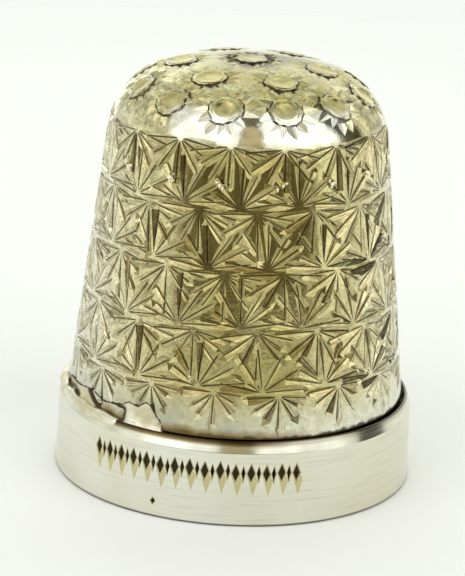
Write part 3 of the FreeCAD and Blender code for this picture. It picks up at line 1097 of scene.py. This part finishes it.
def band_edge_shade_and_dirt(tree, x, z, colour):
    """Painted shade at the band's edges, with some dirt: a dark line at the foot for its contact shadow;
    on the crest a brown band, painted reflection of the skirt, and dark lines, painted shade of the
    groove; the brown and the lower dark line mostly at the left.
    """
    # Painted contact shadow: a dark line at the very foot, where the band meets the floor.
    colour = coat(tree, colour, BLACK_PATINA_AND_SHADE, ramp(tree, z, 0.00004, 0.00016, 0.9, 0.0))
    left = ramp(tree, x, 0.0005, 0.004, 1.0, 0.25)
    # Painted reflection of the skirt, with some dirt: a brown band on the crest, mostly at the left.
    colour = coat(tree, colour, BROWN_TARNISH_SHADE_AND_REFLECTION, ramp(tree, z, 0.00390, 0.00404, 0.0, 0.9), left)
    # Painted shade of the groove: dark lines at the top of the crest, the lower one mostly at the left.
    colour = coat(tree, colour, BLACK_PATINA_AND_SHADE, ramp(tree, z, 0.00398, 0.00414, 0.0, 0.85), left)
    return coat(tree, colour, BLACK_PATINA_AND_SHADE, ramp(tree, z, 0.00411, 0.00419, 0.0, 0.85))


def band_silver():
    """Polished silver with fine lines round it, yellower at the right."""
    material, tree, shader, place = start_material("band_silver_polished")
    x, _, z = add_node(tree, "SeparateXYZ", {0: place}).outputs
    squeezed = {0: place, 1: (350.0, 350.0, 9000.0)}
    flat = add_node(tree, "VectorMath", squeezed, operation="MULTIPLY").outputs[0]
    rings = clouds(tree, flat, 1.0, 4.0)
    stain = patches(tree, place, 260.0, 3.0, 0.35, 0.7)
    yellowed = largest(tree, stain, ramp(tree, x, 0.001, 0.007))
    colour = mix_colour(tree, yellowed, BAND_SILVER, BAND_YELLOWED)
    colour = coat(tree, colour, BAND_LINES, ramp(tree, rings, 0.52, 0.68, 0.0, 0.4))
    colour = punch_colours(tree, colour)
    colour = band_edge_shade_and_dirt(tree, x, z, colour)
    roughness = ramp(tree, rings, 0.3, 0.7, 0.12, 0.22)
    finish_material(tree, shader, colour, roughness, rings, 0.25, 0.00001)
    return material


def solder_metal():
    """Dull grey-yellow solder, rough, with a painted black shadow along its outline where its edge meets
    the silver.
    """
    material, tree, shader, place = start_material("solder_dull")
    mottle = patches(tree, place, 900.0, 4.0, 0.35, 0.65)
    colour = mix_colour(tree, mottle, SOLDER_PALE, SOLDER_DULL)
    # Painted shadow: black near the skin's outline, as under its raised edge.
    colour = coat(tree, colour, BLACK_PATINA_AND_SHADE, ramp(tree, attribute(tree, "edge"), 0.035, 0.08, 0.97, 0.0))
    roughness = ramp(tree, mottle, 0.0, 1.0, 0.18, 0.4)
    relief = clouds(tree, place, 1800.0, 4.0)
    finish_material(tree, shader, colour, roughness, relief, 0.4, 0.00004)
    return material


# ---- stage, light and camera
PAPER_SEEN = (0.905, 0.947, 0.896)
PAPER = (0.97, 0.985, 0.985)
PAPER_SOLID_RADIUS = 0.06
PAPER_END_RADIUS = 0.12


def make_floor():
    """A round sheet of white paper that fades out into the white surroundings."""
    bm = bmesh.new()
    bmesh.ops.create_circle(bm, cap_ends=True, segments=96, radius=PAPER_END_RADIUS)
    material, tree, shader, place = start_material("floor_paper", metallic=0.0)
    shader.inputs["Base Color"].default_value = (*PAPER, 1)
    shader.inputs["Roughness"].default_value = 0.9
    shader.inputs["Specular IOR Level"].default_value = 0.1
    away = add_node(tree, "VectorMath", {0: place}, operation="LENGTH").outputs["Value"]
    cover = ramp(tree, away, PAPER_SOLID_RADIUS, PAPER_END_RADIUS, 1.0, 0.0)
    tree.links.new(cover, shader.inputs["Alpha"])
    new_object("floor", bm, [material])


# Each light or dark patch of the light tent, in degrees: azimuth from and to, elevation from and
# to, softness of its edges, and its brightness. Later patches lie over earlier ones.
TENT = (1.24, 1.28, 1.22)
TENT_PATCHES = [
    (-200, 200, 70, 95, 10, (0.80, 0.82, 0.74)),
    (-150, -72, -10, 70, 10, (0.90, 0.92, 0.86)),
    (84, 150, -10, 70, 10, (0.90, 0.92, 0.86)),
    (-52, 56, -40, 12, 14, (0.20, 0.17, 0.10)),
    (-23, 21, 5, 80, 8, (0.15, 0.125, 0.07)),
    (-72, -8, 16, 66, 5, (1.6, 1.6, 1.55)),
    (15, 84, 16, 66, 5, (1.6, 1.6, 1.55)),
    (-7, 14, 18, 60, 5, (0.50, 0.43, 0.24)),
    (88, 112, 2, 48, 4, (0.10, 0.10, 0.08)),
]


def make_world():
    """A white light tent with two soft boxes, open at the front where the camera looks in."""
    world = bpy.data.worlds.new("light_tent")
    bpy.context.scene.world = world
    world.use_nodes = True
    tree = world.node_tree
    direction = add_node(tree, "TexCoord").outputs["Generated"]
    x, y, z = add_node(tree, "SeparateXYZ", {0: direction}).outputs
    azimuth = calculate(tree, "ARCTAN2", x, product(tree, y, -1.0))
    elevation = calculate(tree, "ARCSINE", z)
    light = add_node(tree, "RGB").outputs[0]
    light.default_value = (*TENT, 1)
    for left, right, low, high, soft, colour in TENT_PATCHES:
        limits = [(azimuth, left, 1), (azimuth, right, -1), (elevation, low, 1), (elevation, high, -1)]
        edges = []
        for angle, limit, side in limits:
            reach = math.radians(soft / 2) * side
            edges.append(ramp(tree, angle, math.radians(limit) - reach, math.radians(limit) + reach))
        light = coat(tree, light, colour, *edges)
    folds = patches(tree, direction, 4.0, 3.0, 0.3, 0.7, 0.7, 1.25)
    light = add_node(tree, "VectorMath", {0: light, 1: folds}, operation="MULTIPLY").outputs[0]
    seen = add_node(tree, "LightPath").outputs["Is Camera Ray"]
    background = tree.nodes["Background"]
    tree.links.new(mix_colour(tree, seen, light, PAPER_SEEN), background.inputs["Color"])


CAMERA_EYE = Vector((0, -0.1577, 0.0592))
CAMERA_AIM = Vector((-0.00038, 0, 0.00907))
CAMERA_ROLL = math.radians(2.93)
CAMERA_LENS = 140.6
SENSOR_HEIGHT = 24.0


def make_camera():
    """In front and a little above, looking slightly down, and rolled a little."""
    back = (CAMERA_EYE - CAMERA_AIM).normalized()
    level = UP.cross(back).normalized()
    upright = back.cross(level)
    right = level * math.cos(CAMERA_ROLL) + upright * math.sin(CAMERA_ROLL)
    data = bpy.data.cameras.new("camera")
    data.sensor_fit = "VERTICAL"
    data.sensor_height = SENSOR_HEIGHT
    data.lens = CAMERA_LENS
    data.clip_start = 0.01
    camera = bpy.data.objects.new("camera", data)
    turned = Matrix((right, back.cross(right), back)).transposed().to_4x4()
    camera.matrix_world = Matrix.Translation(CAMERA_EYE) @ turned
    bpy.context.scene.collection.objects.link(camera)
    bpy.context.scene.camera = camera


make_cup(cup_silver())
make_band(band_silver())
make_solder(solder_metal())
make_floor()
make_world()
make_camera()
bpy.context.scene.view_settings.view_transform = "Standard"
